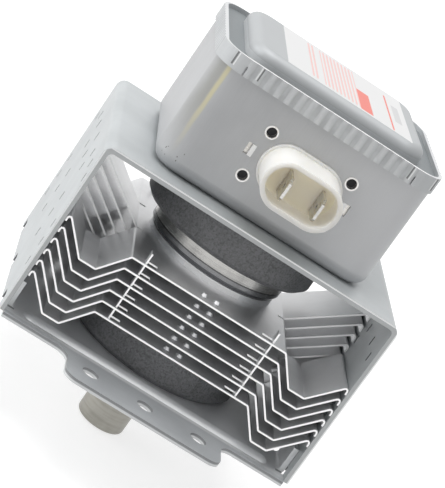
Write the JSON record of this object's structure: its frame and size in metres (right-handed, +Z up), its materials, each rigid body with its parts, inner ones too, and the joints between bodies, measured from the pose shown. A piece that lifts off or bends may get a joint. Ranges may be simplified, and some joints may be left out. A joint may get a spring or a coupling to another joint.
{
  "type": "magnetron",
  "caption": "Microwave-oven magnetron: folded steel yoke with ring magnets, finned anode, mounting flange, antenna post and shielded filter box with a blade connector.",
  "frame": {"origin": "on the tube axis, at the underside of the base plate (the mounting face)", "axes": "+X to the right along the front, +Y to the back, away from the connector, +Z up the tube axis to the filter box; the antenna points along -Z"},
  "size_m": [0.0926, 0.1054, 0.1217],
  "materials": {
    "yoke_steel": "satin zinc plate",
    "base_steel": "satin zinc plate",
    "box_steel": "satin zinc plate",
    "cover_steel": "satin zinc plate",
    "ferrite": "matt, speckled",
    "copper": "bare copper",
    "nickel": "brushed",
    "tungsten": "drawn wire",
    "alumina": "fine, unglazed",
    "cap_steel": "dull",
    "gasket_wire": "knitted wire",
    "fin_aluminium": "bright rolled",
    "ivory_plastic": "moulded",
    "tin_plate": "tin plate"
  },
  "bodies": {
    "root": {"yoke_frame": "yoke_steel", "base_plate": "base_steel", "upper_magnet": "ferrite", "lower_magnet": "ferrite", "anode_cylinder": "copper", "upper_inner_strap": "copper", "upper_outer_strap": "copper", "lower_inner_strap": "copper", "lower_outer_strap": "copper", "upper_pole_piece": "nickel", "lower_pole_piece": "nickel", "upper_seal_drum": "nickel", "lower_seal_cup": "nickel", "cathode_filament": "tungsten", "upper_end_hat": "tungsten", "lower_end_hat": "tungsten", "centre_lead": "tungsten", "side_lead": "tungsten", "stem_insulator": "alumina", "output_insulator": "alumina", "antenna_lead": "copper", "exhaust_tube": "copper", "antenna_cap": "cap_steel", "mesh_gasket": "gasket_wire", "filter_box": "box_steel", "filter_cover": "cover_steel", "connector_housing": "ivory_plastic", "capacitor_plate": "nickel", "terminal_blade_left": "tin_plate", "terminal_blade_right": "tin_plate", "plate_eyelets": "tin_plate", "choke_coil_left": "copper", "choke_coil_right": "copper", "choke_core_left": "ferrite", "choke_core_right": "ferrite", "anode_vane_1": "copper", "anode_vane_2": "copper", "anode_vane_3": "copper", "anode_vane_4": "copper", "anode_vane_5": "copper", "anode_vane_6": "copper", "anode_vane_7": "copper", "anode_vane_8": "copper", "anode_vane_9": "copper", "anode_vane_10": "copper", "cooling_fin_1": "fin_aluminium", "cooling_fin_2": "fin_aluminium", "cooling_fin_3": "fin_aluminium", "cooling_fin_4": "fin_aluminium", "cooling_fin_5": "fin_aluminium", "cooling_fin_6": "fin_aluminium"}
  },
  "joints": []
}
